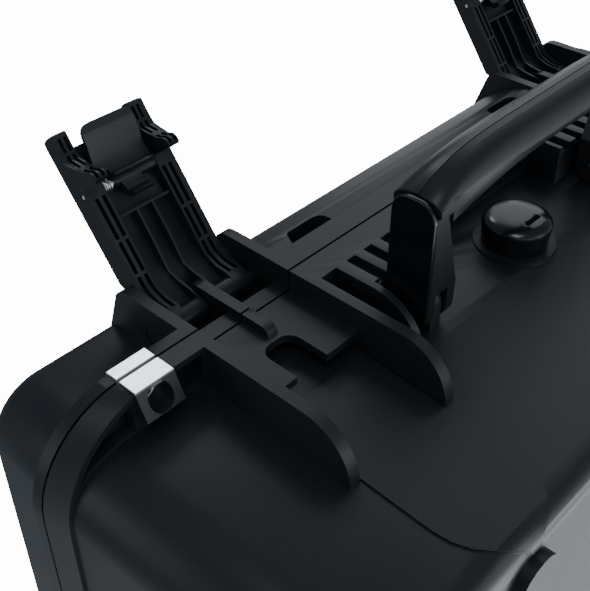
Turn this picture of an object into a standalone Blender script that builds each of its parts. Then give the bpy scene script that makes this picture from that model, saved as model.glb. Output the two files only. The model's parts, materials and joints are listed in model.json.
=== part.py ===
"""Carrying case for a sampling pad: two moulded shells, latches, handle, valve, hinges and foam.

The case lies on its feet with its front towards -Y. Lengths below are millimetres. A place on the
front is given by its depth behind the flange's front face and its rise above the parting line.
"""

import math

import bmesh
import bpy
from mathutils import Matrix, Vector

MM = 0.001
FIT = 0.3
SMOOTH_ANGLE = 30.0
CORNER_STEPS = 10

# Outline of the flange, at the parting line
FLANGE_LENGTH = 544.0
FLANGE_DEPTH = 415.0
FLANGE_RADIUS = 48.0
PARTING_HEIGHT = 165.0
PARTING_GAP = 1.2
DRAFT = 0.052

# Base moulding
BASE_BAND = 10.3
BASE_BAND_TAPER = 5.0
SKIRT = 3.3
SKIRT_WEB = 3.5
BASE_WALL_SIDE = 6.0
BASE_WALL_FRONT = 21.5
BASE_WALL_BACK = 12.0
BASE_WALL_RADIUS = 30.0
BASE_EDGE = 8.0
FOOT_HEIGHT = 5.0
WALL = 4.0
FLOOR = 4.5

# Lid moulding
LID_HEIGHT = 60.0
LID_BAND = 6.7
LID_WALL_SIDE = 9.0
LID_WALL_FRONT = 22.0
LID_WALL_RADIUS = 28.0
LID_EDGE = 8.0

# Tongue, groove and gasket
RIM_INNER = 26.5
RIM_INNER_SIDE = 11.5
RIM_INNER_BACK = 16.5
RIM_INNER_RADIUS = 24.0
TONGUE_OFFSET = 2.5
TONGUE_WIDTH = 3.0
TONGUE_HEIGHT = 3.0
GROOVE_CLEARANCE = 0.4
GASKET_HEIGHT = 1.3

# Bulge in the middle of the lid's front
BULGE_DEPTH = 1.5
BULGE_START = 13.5
BULGE_RADIUS = 46.0
SCOOP_INSET = 12.0
SCOOP_LENGTH = 30.0
SCOOP_SLANT = 5.0
SCOOP_BOTTOM = 14.0
SCOOP_TOP = 24.5
SCOOP_DEPTH = 10.0
CAVITY_INSET = 5.0

# Latch bays, fins and catch plates
BAY_CENTRE = 152.0
BAY_HALF = 29.0
FIN_THICKNESS = 6.0
FIN_BASE_STRAIGHT = 68.0
FIN_BASE_CURVE = 26.0
FIN_LID_STRAIGHT = 42.5
FIN_LID_RADIUS = 9.0
FIN_LID_DEPTH = 32.0
SEAT_DEPTH = 11.7
PLATE_THICKNESS = 4.3
PLATE_END = 44.0
PLATE_SOLID = 12.4
NOTCH_RADIUS = 7.0
NOTCH_LEFT = 12.4
NOTCH_TOP = 20.5
RIDGE_HALF = 3.0
RIDGE_DEPTH = 7.0
RIDGE_LID_END = 38.0
RIDGE_BASE_END = 17.6
LID_SHELF = 9.5
ROD_RISE = 26.4
ROD_DEPTH = 17.0
ROD_RADIUS = 4.0

# Raised panels below the bays, and the feet
PANEL_PROUD = 1.0
PANEL_TOP = 47.0
PANEL_CORNER = 33.0
PANEL_INSET = 1.0
FOOT_HALF = 14.0
FOOT_LENGTH = 330.0

# Padlock lugs and their clips
LUG_CENTRE = 215.5
LUG_HALF = 12.0
CLIP_HALF = 10.5
CLIP_SHEET = 0.8
CLIP_PROUD = 0.5
CLIP_SETBACK = 0.2
CLIP_LIP = 2.4
CLIP_LEAF = 9.0
LUG_HOLE_DEPTH = 10.0
LUG_HOLE_RADIUS = 7.8
CLIP_HOLE_RADIUS = 7.3

# Latch, measured from its rod: reach along it, lift out of the case
LATCH_HALF = 28.0
LATCH_LIFT = 16.8
LATCH_REACH = 102.0
LATCH_SKIN = 2.5
LATCH_SKIN_INSET = 8.5
LATCH_BEND = 27.0
LATCH_DRAFT = 0.14
LATCH_CORNER = 3.0
LATCH_LOW = -5.1
EYE_RADIUS = 6.0
RAIL_WIDTH = 12.2
RAIL_LIFT = 7.3
RAIL_BACK = 28.4
CENTRE_RIB_HALF = 4.1
CENTRE_RIB_WIDTH = 1.3
CENTRE_RIB_LIFT = 9.0
CENTRE_RIB_BACK = 46.1
ARM_WIDTH = 10.0
ARM_BACK = 42.0
LATCH_OPEN_ANGLE = 127.5

# Crown of the skin over the shell's ridge, as reaches and lifts
BRIDGE = ((8.8, 7.0), (9.6, 12.4), (13.5, 13.0), (22.0, 15.5), (24.0, 15.0), (20.0, 11.5), (13.0, 9.0))

# Edge of each arm and its ear, as steps back from the latch's free end and lifts
EAR_EDGE = (
    (0.0, 11.6),
    (0.8, 10.6),
    (8.2, 11.0),
    (14.0, 10.4),
    (18.0, 5.6),
    (21.6, 1.0),
    (23.0, -3.5),
    (24.6, -5.1),
    (27.1, -5.7),
    (28.4, -4.2),
)

# Slots that core the rails and the arms: the nearest face of each pair, and their width
RAIL_SLOT_STARTS = (17.3, 21.3)
RAIL_SLOT_WIDTH = 2.0
ARM_SLOT_STARTS = (19.2, 22.4)
ARM_SLOT_WIDTH = 1.6
SLOT_OPEN = -12.0
BEND_SLOT = ((7.6, SLOT_OPEN), (7.6, 4.2), (26.5, 13.4), (26.5, SLOT_OPEN))
RAIL_SLOT_REACHES = (28.2, 44.8, 46.5)
RAIL_SLOT_BACK = 34.5
TIP_SLOT_BACKS = (9.7, 2.7)
TIP_SLOT_LIFT = 13.2
ARM_SLOT_BACKS = ((11.4, SLOT_OPEN), (11.4, 13.2), (14.5, 13.2), (18.4, 9.5), (18.4, SLOT_OPEN))
EAR_SLOT_BACKS = ((20.4, SLOT_OPEN), (20.4, 6.0), (23.5, 0.5), (26.7, 0.0), (26.7, SLOT_OPEN))

# Latch trigger, its paddle and claw as steps from its pin
TRIGGER_PIN_BACK = 31.3
TRIGGER_PIN_LIFT = 10.0
TRIGGER_PIN_RADIUS = 1.2
BARREL_RADIUS = 2.6
TRIGGER_HALF = 15.0
TRIGGER_CORNER = 5.0
SPRING_ROOM = 5.7
SPRING_NOTCH = 6.3
CLAW_HALF = 6.0
PADDLE_EDGE = (
    (0.0, -2.6),
    (1.7, -3.7),
    (2.0, -5.4),
    (2.9, -6.1),
    (3.9, -5.4),
    (4.5, -2.6),
    (12.3, -1.8),
    (19.3, -4.7),
    (25.3, -6.0),
    (29.6, -6.4),
    (29.6, -4.2),
    (25.3, -3.8),
    (19.3, -2.4),
    (12.3, 0.5),
    (5.3, 1.5),
    (0.0, 2.6),
)
CLAW_EDGE = (
    (0.0, 2.0),
    (-6.2, 0.5),
    (-9.2, -3.0),
    (-9.7, -6.8),
    (-8.3, -8.4),
    (-7.1, -6.6),
    (-6.1, -3.8),
    (-3.2, -2.4),
    (0.0, -2.4),
)
SPRING_WIRE = 0.8
SPRING_RADIUS = 2.1
SPRING_PITCH = 1.25
SPRING_TURNS = 3.5
SPRING_POINTS = 9

# Carrying handle, measured from the flange's front face
HANDLE_RISE = -51.0
HANDLE_PIVOT_DEPTH = 11.0
HANDLE_HALF = 99.0
HANDLE_RIDGE = 64.6
HANDLE_UNDERSIDE = 45.4
HANDLE_ARCH = 5.9
HANDLE_DROOP = 11.0
HANDLE_DROOP_INSET = 5.0
LEG_INSET = 23.0
LEG_TOP_INSET = 12.0
LEG_STEP = 1.0
LEG_HALF_WIDTH = 11.5
CAP_THICKNESS = 2.6
CAP_TOP = 51.5
CAP_CORNER = 9.5
LUG_RADIUS = 11.4
FORK_OUTER_INSET = 8.0
FORK_INNER_INSET = 17.0
BOSS_RADIUS = 9.5
HANDLE_PIN_RADIUS = 3.0

# Half of the grip's section: the rise of each level, how far its top lies below the ridge, and how
# far its underside is lifted
GRIP_SECTION = (
    (0.15, 0.0, 0.0),
    (3.5, 0.5, 0.0),
    (7.0, 1.9, 0.0),
    (9.8, 4.3, 0.7),
    (11.8, 7.6, 2.0),
    (13.0, 11.4, 4.0),
)

# Guard ribs and cored bracket beside the handle, placed inwards from the handle's ends
GUARD_GAP = 3.0
GUARD_THICKNESS = 4.0
BRACKET_INSET = 36.0
BRACKET_END = 35.0
BRACKET_SLOT_START = 15.0
BRACKET_SLOT_DEPTH = 4.0
BRACKET_SLOTS = ((33.0, 25.4), (19.0, 12.8), (6.8, 0.3))

# Pressure valve
VALVE_RISE = -49.0
VALVE_CAP_RADIUS = 18.6
VALVE_CAP_DEPTH = 6.0
VALVE_CAP_TAPER = 1.0
VALVE_SEAT_RADIUS = 22.0
VALVE_SEAT_DEPTH = 22.3
VALVE_STEM_RADIUS = 9.0
VALVE_BORE_RADIUS = 4.0
VALVE_NUT_RADIUS = 14.0
VALVE_NUT_HEIGHT = 5.0
VALVE_FLANGE_RADIUS = 16.5
VALVE_FLANGE_DEPTH = 13.0
VALVE_INNER_SEAT = 29.5
O_RING_THICKNESS = 1.8

# Rear hinges
HINGE_AXIS_BACK = 7.5
KNUCKLE_RADIUS = 7.0
HINGE_PIN_RADIUS = 3.0
HINGE_CENTRE = 140.0
HINGE_HALF = 30.0
LID_KNUCKLE_HALF = 15.0

# Foam lining
FOAM_CLEARANCE = 0.6
FOAM_BOTTOM = 12.0
FOAM_POCKET_FLOOR = 46.0
POCKET_LENGTH = 364.0
POCKET_WIDTH = 331.0
POCKET_RADIUS = 20.0
LID_FOAM_FACE = 20.0

# Worked out from the sizes above
HALF_LENGTH = FLANGE_LENGTH / 2
FRONT = -FLANGE_DEPTH / 2
BACK = FLANGE_DEPTH / 2
RIM = PARTING_GAP / 2
HINGE_Y = BACK + HINGE_AXIS_BACK
FRONT_REACH = BACK + HANDLE_RIDGE
BACK_REACH = HINGE_Y + KNUCKLE_RADIUS
CENTRE_SHIFT = (FRONT_REACH - BACK_REACH) / 2
BASE_DEPTH = PARTING_HEIGHT - FOOT_HEIGHT
LATCH_Y = FRONT + ROD_DEPTH
LATCH_Z = PARTING_HEIGHT + ROD_RISE
HANDLE_DROOP_HALF = HANDLE_HALF - HANDLE_DROOP_INSET
LEG_INNER = HANDLE_HALF - LEG_INSET
LEG_INNER_TOP = HANDLE_HALF - LEG_TOP_INSET
FORK_OUTER = HANDLE_HALF - FORK_OUTER_INSET
FORK_INNER = HANDLE_HALF - FORK_INNER_INSET
GUARD_INNER = HANDLE_HALF + GUARD_GAP
GUARD_OUTER = GUARD_INNER + GUARD_THICKNESS
BRACKET_INNER = HANDLE_HALF - BRACKET_INSET
BULGE_HALF = BAY_CENTRE - BAY_HALF - FIN_THICKNESS
SCOOP_OUTER = BULGE_HALF - SCOOP_INSET
SCOOP_INNER = SCOOP_OUTER - SCOOP_LENGTH
RAIL_INNER = LATCH_HALF - RAIL_WIDTH
RAIL_END = LATCH_REACH - RAIL_BACK
TRIGGER_PIN_REACH = LATCH_REACH - TRIGGER_PIN_BACK
PARTING_SEAT = RIM + CLIP_SETBACK + CLIP_SHEET + FIT

PARTS = []


def place(depth, rise):
    """The y and z of a place on the front."""
    return FRONT + depth, PARTING_HEIGHT + rise


def base_wall(drop):
    """How far the base's front wall lies behind the flange's front face."""
    return BASE_WALL_FRONT + DRAFT * drop


def mesh_object(name, build):
    """Make an object from a bmesh in millimetres, with its faces pointing out."""
    bmesh.ops.recalc_face_normals(build, faces=build.faces)
    bmesh.ops.scale(build, vec=(MM, MM, MM), verts=build.verts)
    mesh = bpy.data.meshes.new(name)
    build.to_mesh(mesh)
    build.free()
    item = bpy.data.objects.new(name, mesh)
    bpy.context.scene.collection.objects.link(item)
    return item


def loft(name, rings):
    """A closed solid through rings of points, all with the same number of points."""
    build = bmesh.new()
    rows = [[build.verts.new(point) for point in ring] for ring in rings]
    count = len(rows[0])
    for lower, upper in zip(rows, rows[1:]):
        for i in range(count):
            j = (i + 1) % count
            build.faces.new((lower[i], lower[j], upper[j], upper[i]))
    build.faces.new(rows[0])
    build.faces.new(rows[-1])
    return mesh_object(name, build)


def prism(name, axis, low, high, outline):
    """Extrude an outline along X, Y or Z. The outline holds the other two coordinates in order."""
    def ring(level):
        if axis == "X":
            return [(level, a, b) for a, b in outline]
        if axis == "Y":
            return [(a, level, b) for a, b in outline]
        return [(a, b, level) for a, b in outline]
    return loft(name, [ring(low), ring(high)])


def block(name, x_range, y_range, z_range):
    """A box between two corners."""
    outline = [
        (x_range[0], y_range[0]),
        (x_range[1], y_range[0]),
        (x_range[1], y_range[1]),
        (x_range[0], y_range[1]),
    ]
    return prism(name, "Z", z_range[0], z_range[1], outline)


def arc(centre, radius, start, end, steps):
    """Points along an arc, in degrees, both ends included. The radius may be a pair."""
    across, along = radius if isinstance(radius, tuple) else (radius, radius)
    points = []
    for i in range(steps + 1):
        angle = math.radians(start + (end - start) * i / steps)
        points.append((centre[0] + across * math.cos(angle), centre[1] + along * math.sin(angle)))
    return points


def cylinder(name, axis, centre, radius, low, high, sides=20):
    """A round bar along an axis."""
    return prism(name, axis, low, high, arc(centre, radius, 0, 360 - 360 / sides, sides - 1))


def rounded_rect(x_half, y_front, y_back, radius, steps=CORNER_STEPS):
    """A rectangle with round corners, as x and y, anticlockwise from the right-hand side."""
    corners = (
        (x_half - radius, y_back - radius, 0),
        (-x_half + radius, y_back - radius, 90),
        (-x_half + radius, y_front + radius, 180),
        (x_half - radius, y_front + radius, 270),
    )
    points = []
    for x, y, start in corners:
        points += arc((x, y), radius, start, start + 90, steps)
    return points


def combine(target, tool, operation):
    """Join, cut or intersect the target with the tool, which is used up."""
    modifier = target.modifiers.new("combine", "BOOLEAN")
    modifier.operation = operation
    modifier.solver = "EXACT"
    modifier.object = tool
    bpy.context.view_layer.update()
    graph = bpy.context.evaluated_depsgraph_get()
    mesh = bpy.data.meshes.new_from_object(target.evaluated_get(graph))
    target.modifiers.clear()
    target.data = mesh
    bpy.data.objects.remove(tool)
    return target


def add(target, *tools):
    """Fuse solids onto the target."""
    for tool in tools:
        combine(target, tool, "UNION")
    return target


def cut(target, *tools):
    """Cut solids out of the target."""
    for tool in tools:
        combine(target, tool, "DIFFERENCE")
    return target


def turned(name, centre, profile, sides=24):
    """Turn a profile of (radius, y) points about an axis along Y through centre (x, z)."""
    rings = []
    for radius, y in profile:
        circle = arc(centre, radius, 0, 360 - 360 / sides, sides - 1)
        rings.append([(x, y, z) for x, z in circle])
    return loft(name, rings)


def material(name, colour, roughness, metallic=0.0, coat=0.0):
    """A Principled finish."""
    finish = bpy.data.materials.new(name)
    finish.use_nodes = True
    shader = finish.node_tree.nodes["Principled BSDF"]
    shader.inputs["Base Color"].default_value = (*colour, 1.0)
    shader.inputs["Roughness"].default_value = roughness
    shader.inputs["Metallic"].default_value = metallic
    shader.inputs["Coat Weight"].default_value = coat
    finish.diffuse_color = (*colour, 1.0)
    return finish


def finish_part(item, finish, origin=(0.0, 0.0, 0.0), turn=0.0, about=None):
    """Give the part its finish and its origin, and turn it along X, about another point if one is given."""
    if len(item.data.materials) == 0:
        item.data.materials.append(finish)
    item.data.materials[0] = finish
    pivot = Vector(origin) * MM
    item.data.transform(Matrix.Translation(-pivot))
    centre = pivot if about is None else Vector(about) * MM
    turning = Matrix.Rotation(math.radians(turn), 3, "X")
    item.location = centre + turning @ (pivot - centre)
    item.rotation_euler.x = math.radians(turn)
    item.data.shade_smooth()
    item.data.set_sharp_from_angle(angle=math.radians(SMOOTH_ANGLE))
    item.data.update()
    PARTS.append(item)
    return item


def at(outline, z):
    """Lift an outline of x and y to a height."""
    return [(x, y, z) for x, y in outline]


def ring(name, outer, inner, low, high):
    """A closed ring between two outlines of x and y."""
    rows = [at(outer, low), at(outer, high), at(inner, high), at(inner, low)]
    return closed_loft(name, rows)


def closed_loft(name, rings):
    """A ring-shaped solid: the last ring of points joins the first."""
    build = bmesh.new()
    rows = [[build.verts.new(point) for point in row] for row in rings]
    count = len(rows[0])
    for lower, upper in zip(rows, rows[1:] + rows[:1]):
        for i in range(count):
            j = (i + 1) % count
            build.faces.new((lower[i], lower[j], upper[j], upper[i]))
    return mesh_object(name, build)


def turned_ring(name, centre, profile, sides=24):
    """Turn a closed profile of (radius, y) points about an axis along Y."""
    rings = []
    for radius, y in profile:
        circle = arc(centre, radius, 0, 360 - 360 / sides, sides - 1)
        rings.append([(x, y, z) for x, z in circle])
    return closed_loft(name, rings)


def front_prism(name, x_low, x_high, profile):
    """Extrude a profile of (depth, rise) places along X."""
    return prism(name, "X", x_low, x_high, [place(depth, rise) for depth, rise in profile])


def front_block(name, x_range, depth_range, rise_range):
    """A box given by its depth behind the flange and its rise above the parting line."""
    y_range = [FRONT + depth for depth in depth_range]
    z_range = [PARTING_HEIGHT + rise for rise in rise_range]
    return block(name, x_range, y_range, z_range)


def mirrored(low, high, side):
    """A range of x on the right-hand side, or its mirror image, in rising order."""
    return (low, high) if side > 0 else (-high, -low)


def rim_outline(offset=0.0):
    """The inner edge of the rim, moved outwards by an offset."""
    return rounded_rect(
        HALF_LENGTH - RIM_INNER_SIDE + offset,
        FRONT + RIM_INNER - offset,
        BACK - RIM_INNER_BACK + offset,
        RIM_INNER_RADIUS + offset,
    )


def base_outline(drop, inset=0.0):
    """The base wall at a drop below the parting line, moved inwards by an inset."""
    slope = DRAFT * drop + inset
    return rounded_rect(
        HALF_LENGTH - BASE_WALL_SIDE - slope,
        FRONT + BASE_WALL_FRONT + slope,
        BACK - BASE_WALL_BACK - slope,
        BASE_WALL_RADIUS - inset / 2,
    )


def lid_outline(rise, inset=0.0):
    """The lid wall at a rise above the parting line, moved inwards by an inset."""
    slope = DRAFT * rise + inset
    return rounded_rect(
        HALF_LENGTH - LID_WALL_SIDE - slope,
        FRONT + LID_WALL_FRONT + slope,
        BACK - BASE_WALL_BACK - slope,
        LID_WALL_RADIUS - inset / 2,
    )


def band_outline(inset=0.0, radius=FLANGE_RADIUS):
    """The outer face of the flange."""
    return rounded_rect(HALF_LENGTH - inset, FRONT, BACK, radius)


def base_hull():
    """The base moulding's wall, floor, flange and tongue, without ribs."""
    rows = []
    for angle in (0, 30, 60, 90):
        turn = math.radians(angle)
        z = FOOT_HEIGHT + BASE_EDGE * (1 - math.cos(turn))
        inset = BASE_EDGE * (1 - math.sin(turn))
        rows.append(at(base_outline(PARTING_HEIGHT - z, inset), z))
    band_low = PARTING_HEIGHT - BASE_BAND
    rim = PARTING_HEIGHT - RIM
    tongue_top = rim + TONGUE_HEIGHT
    rows.append(at(base_outline(BASE_BAND), band_low))
    rows.append(at(band_outline(BASE_BAND_TAPER, FLANGE_RADIUS + BASE_BAND_TAPER), band_low))
    rows.append(at(band_outline(), rim))
    rows.append(at(rim_outline(TONGUE_OFFSET + TONGUE_WIDTH), rim))
    rows.append(at(rim_outline(TONGUE_OFFSET + TONGUE_WIDTH), tongue_top))
    rows.append(at(rim_outline(TONGUE_OFFSET), tongue_top))
    rows.append(at(rim_outline(TONGUE_OFFSET), rim))
    rows.append(at(rim_outline(), rim))
    floor = FOOT_HEIGHT + FLOOR
    rows.append(at(base_outline(PARTING_HEIGHT - floor - WALL, WALL), floor + WALL))
    rows.append(at(base_outline(PARTING_HEIGHT - floor, 2 * WALL), floor))
    return loft("base_shell", rows)


def channel(x_range, rise_low):
    """The hollow under the flange, between its outer skirt and the wall."""
    outer = rounded_rect(
        HALF_LENGTH - BASE_BAND_TAPER - SKIRT,
        FRONT + SKIRT,
        BACK - SKIRT,
        FLANGE_RADIUS + BASE_BAND_TAPER - SKIRT,
    )
    low = PARTING_HEIGHT + rise_low - 1
    hollow = prism("hollow", "Z", low, PARTING_HEIGHT - SKIRT_WEB, outer)
    wall = prism("wall", "Z", low - 1, PARTING_HEIGHT, base_outline(0, -0.2))
    combine(hollow, wall, "DIFFERENCE")
    limits = block("limits", x_range, (FRONT - 1, FRONT + 60), (low - 2, PARTING_HEIGHT))
    return combine(hollow, limits, "INTERSECT")


def base_fin(name, x_range):
    """One of the fins beside a latch bay, ending in a quarter ellipse on the wall."""
    foot = base_wall(FIN_BASE_STRAIGHT + FIN_BASE_CURVE) + 0.6
    curve = arc((foot, -FIN_BASE_STRAIGHT), (foot, FIN_BASE_CURVE), 180, 270, 8)
    profile = [(0.0, -RIM)] + curve + [(BASE_WALL_FRONT + 3.0, -RIM)]
    return front_prism(name, x_range[0], x_range[1], profile)


def catch_plate(centre):
    """The plate that the latch's hooks catch, with a round-ended notch for the trigger's claw."""
    wide = BAY_HALF + 1.0
    low = -NOTCH_TOP - NOTCH_RADIUS
    notch = arc((0.0, low), NOTCH_RADIUS, 0, 90, 5)
    notch += arc((NOTCH_RADIUS - NOTCH_LEFT, low), NOTCH_RADIUS, 90, 180, 5)
    outline = [(wide, -5.0), (wide, -PLATE_END), (NOTCH_RADIUS, -PLATE_END)] + notch
    outline += [(-NOTCH_LEFT, -PLATE_END), (-wide, -PLATE_END), (-wide, -5.0)]
    points = [(centre + x, PARTING_HEIGHT + rise) for x, rise in outline]
    low = FRONT + SEAT_DEPTH
    return prism("catch_plate", "Y", low, low + PLATE_THICKNESS, points)


def base_bay(shell, side):
    """Cut the flange away for one latch, and add its fins, catch plate and ridge."""
    centre = side * BAY_CENTRE
    bay = (centre - BAY_HALF, centre + BAY_HALF)
    cut(shell, front_block("bay", bay, (-1.0, SEAT_DEPTH), (-BASE_BAND - 6.0, 1.0)))
    inner = mirrored(BAY_CENTRE - BAY_HALF - FIN_THICKNESS, BAY_CENTRE - BAY_HALF, side)
    outer = mirrored(BAY_CENTRE + BAY_HALF, BAY_CENTRE + BAY_HALF + FIN_THICKNESS, side)
    add(shell, base_fin("inner_fin", inner), base_fin("outer_fin", outer))
    wide = (centre - BAY_HALF - 1.0, centre + BAY_HALF + 1.0)
    solid_back = (SEAT_DEPTH + 2.0, BASE_WALL_FRONT + 2.0)
    add(shell, front_block("plate_root", wide, solid_back, (-PLATE_SOLID, -5.0)))
    add(shell, catch_plate(centre))
    nose = SEAT_DEPTH - RIDGE_DEPTH
    tip = arc((SEAT_DEPTH, nose - RIDGE_BASE_END), nose, 180, 270, 4)
    profile = [(RIDGE_DEPTH, -RIM)] + tip + [(SEAT_DEPTH + 1.5, -RIDGE_BASE_END)]
    profile.append((SEAT_DEPTH + 1.5, -RIM))
    add(shell, front_prism("ridge", centre - RIDGE_HALF, centre + RIDGE_HALF, profile))


def base_panel(shell, side):
    """The raised panel on the wall below a bay, and the foot under it."""
    centre = side * BAY_CENTRE
    top_depth = base_wall(PANEL_TOP)
    low_depth = base_wall(BASE_DEPTH - BASE_EDGE)
    edge = arc((low_depth + BASE_EDGE, BASE_EDGE - BASE_DEPTH), BASE_EDGE + PANEL_PROUD, 180, 270, 5)
    profile = [(top_depth - PANEL_PROUD, -PANEL_TOP)] + edge
    profile += [(low_depth + BASE_EDGE, -BASE_DEPTH + 2.0), (low_depth + 2.0, -BASE_DEPTH + BASE_EDGE)]
    profile.append((top_depth + 2.0, -PANEL_TOP))
    half = BAY_HALF - PANEL_INSET
    panel = front_prism("panel", centre - half, centre + half, profile)
    low = PARTING_HEIGHT - BASE_DEPTH - PANEL_PROUD - 1.0
    corner_low = low + PANEL_CORNER
    corners = arc((half - PANEL_CORNER, corner_low), PANEL_CORNER, 0, -90, 6)
    shape = [(half, PARTING_HEIGHT)] + corners
    shape += [(-x, z) for x, z in reversed(shape)]
    mask = prism("mask", "Y", FRONT - 1, FRONT + 80, [(centre + x, z) for x, z in shape])
    add(shell, combine(panel, mask, "INTERSECT"))
    foot = rounded_rect(FOOT_HALF, -FOOT_LENGTH / 2, FOOT_LENGTH / 2, FOOT_HALF - 0.5, 4)
    shape = [(centre + x, y) for x, y in foot]
    add(shell, prism("foot", "Z", 0.0, FOOT_HEIGHT + 2.0, shape))


def front_middle(shell):
    """The deeper flange in the middle of the front, with its cored underside."""
    block_half = BULGE_HALF
    solid_depth = BASE_WALL_FRONT + 2.0
    drop = BRACKET_SLOT_START
    add(shell, front_block("middle", (-block_half, block_half), (0.0, solid_depth), (-drop, -5.0)))
    cut(shell, channel((-BRACKET_INNER + 2.0, BRACKET_INNER - 2.0), -drop))


def handle_bracket(shell, side):
    """The flange carried down beside the handle, its slots, the guard rib and the pivot boss."""
    wide = mirrored(BRACKET_INNER, GUARD_OUTER, side)
    solid_depth = BASE_WALL_FRONT + 3.0
    add(shell, front_block("bracket", wide, (0.0, solid_depth), (-BRACKET_END, -5.0)))
    for start, end in BRACKET_SLOTS:
        slot = mirrored(HANDLE_HALF - start, HANDLE_HALF - end, side)
        rises = (-BRACKET_END - 1.0, -BRACKET_SLOT_START)
        cut(shell, front_block("slot", slot, (-1.0, BRACKET_SLOT_DEPTH), rises))
    guard = mirrored(GUARD_INNER, GUARD_OUTER, side)
    foot = base_wall(66.0) + 1.0
    curve = arc((foot, -38.0), (foot, 28.0), 180, 270, 6)
    profile = [(0.0, -5.0)] + curve + [(solid_depth, -5.0)]
    add(shell, front_prism("guard", guard[0], guard[1], profile))
    boss = mirrored(FORK_INNER + 0.5, FORK_OUTER - 0.5, side)
    head = arc((HANDLE_PIVOT_DEPTH, HANDLE_RISE), BOSS_RADIUS, 90, 270, 10)
    root = base_wall(-HANDLE_RISE) + 2.0
    profile = head + [(root, HANDLE_RISE - BOSS_RADIUS), (root, HANDLE_RISE + BOSS_RADIUS)]
    add(shell, front_prism("boss", boss[0], boss[1], profile))
    pivot = place(HANDLE_PIVOT_DEPTH, HANDLE_RISE)
    cut(shell, cylinder("bore", "X", pivot, HANDLE_PIN_RADIUS + FIT, boss[0] - 1, boss[1] + 1))


def padlock_hole(shell, side, low, high):
    """Drill a padlock hole through the flange, and sink the clip's seat into it."""
    centre = side * LUG_CENTRE
    axis = (centre, FRONT + LUG_HOLE_DEPTH)
    hole = cylinder("hole", "Z", axis, LUG_HOLE_RADIUS, PARTING_HEIGHT + low, PARTING_HEIGHT + high)
    half = CLIP_HALF + FIT
    seat = (centre - half, centre + half)
    front_seat = CLIP_SHEET - CLIP_PROUD + FIT
    leaf = LUG_HOLE_DEPTH + CLIP_LEAF + FIT
    cut(
        shell,
        front_block("front_seat", seat, (-1.0, front_seat), (low, high)),
        front_block("parting_seat", seat, (-1.0, leaf), (-PARTING_SEAT, PARTING_SEAT)),
        hole,
    )


def valve_seat(shell):
    """Flat seats on both sides of the wall, and the valve's hole."""
    centre = (0.0, PARTING_HEIGHT + VALVE_RISE)
    wall_depth = base_wall(-VALVE_RISE)
    outer = FRONT + VALVE_SEAT_DEPTH
    inner = FRONT + VALVE_INNER_SEAT
    add(
        shell,
        cylinder("outer_seat", "Y", centre, VALVE_SEAT_RADIUS, outer, FRONT + wall_depth + 2.0, 28),
        cylinder("inner_seat", "Y", centre, VALVE_NUT_RADIUS + 2.0, FRONT + wall_depth + 2.0, inner),
    )
    cut(shell, cylinder("hole", "Y", centre, VALVE_STEM_RADIUS + FIT, outer - 5, inner + 5, 24))


def hinge_half(shell, centre, x_ranges, z_range):
    """Knuckles on the rear of a shell, each with an arm to the flange."""
    axis = (HINGE_Y, PARTING_HEIGHT)
    for low, high in x_ranges:
        span = (centre + low, centre + high)
        add(shell, block("arm", span, (BACK - 4.0, HINGE_Y), z_range))
        add(shell, cylinder("knuckle", "X", axis, KNUCKLE_RADIUS, *span))
        cut(shell, cylinder("bore", "X", axis, HINGE_PIN_RADIUS + FIT, span[0] - 0.2, span[1] + 0.2))


def make_base_shell():
    """The whole base moulding."""
    shell = base_hull()
    front_middle(shell)
    for side in (-1, 1):
        base_bay(shell, side)
        base_panel(shell, side)
        handle_bracket(shell, side)
        outer_fin = BAY_CENTRE + BAY_HALF + FIN_THICKNESS
        cut(shell, channel(mirrored(LUG_CENTRE + LUG_HALF, HALF_LENGTH, side), -BASE_BAND))
        cut(shell, channel(mirrored(outer_fin + 1.5, LUG_CENTRE - LUG_HALF, side), -BASE_BAND))
        padlock_hole(shell, side, -BASE_BAND - 2.0, 0.0)
        base_knuckles = ((-HINGE_HALF, -LID_KNUCKLE_HALF - 0.4), (LID_KNUCKLE_HALF + 0.4, HINGE_HALF))
        arm = (PARTING_HEIGHT - KNUCKLE_RADIUS, PARTING_HEIGHT - RIM)
        hinge_half(shell, side * HINGE_CENTRE, base_knuckles, arm)
    valve_seat(shell)
    return shell


def lid_hull():
    """The lid moulding's outer shape, still solid and without ribs."""
    band_top = PARTING_HEIGHT + LID_BAND
    top = PARTING_HEIGHT + LID_HEIGHT
    rows = [at(band_outline(), PARTING_HEIGHT + RIM), at(band_outline(), band_top)]
    rows.append(at(lid_outline(LID_BAND), band_top))
    for angle in (90, 60, 30, 0):
        turn = math.radians(angle)
        z = top - LID_EDGE * (1 - math.cos(turn))
        inset = LID_EDGE * (1 - math.sin(turn))
        rows.append(at(lid_outline(z - PARTING_HEIGHT, inset), z))
    return loft("lid_shell", rows)


def lid_interior():
    """The room inside the lid."""
    ceiling = PARTING_HEIGHT + LID_HEIGHT - FLOOR
    rows = [
        at(rim_outline(-TONGUE_OFFSET), PARTING_HEIGHT - 1.0),
        at(lid_outline(LID_HEIGHT - FLOOR - WALL, WALL), ceiling - WALL),
        at(lid_outline(LID_HEIGHT, 2 * WALL), ceiling),
    ]
    return loft("interior", rows)


def lid_bulge(shell):
    """The bulged middle of the lid's front."""
    centre = (BULGE_DEPTH + BULGE_RADIUS, SCOOP_BOTTOM)
    crown = arc(centre, BULGE_RADIUS, 180, 90, 10)
    profile = [(0.0, 3.0), (0.0, BULGE_START), (BULGE_DEPTH, BULGE_START)] + crown
    profile += [(centre[0], LID_HEIGHT - 2.0), (LID_WALL_FRONT + 2.0, 3.0)]
    add(shell, front_prism("bulge", -BULGE_HALF, BULGE_HALF, profile))


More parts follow.
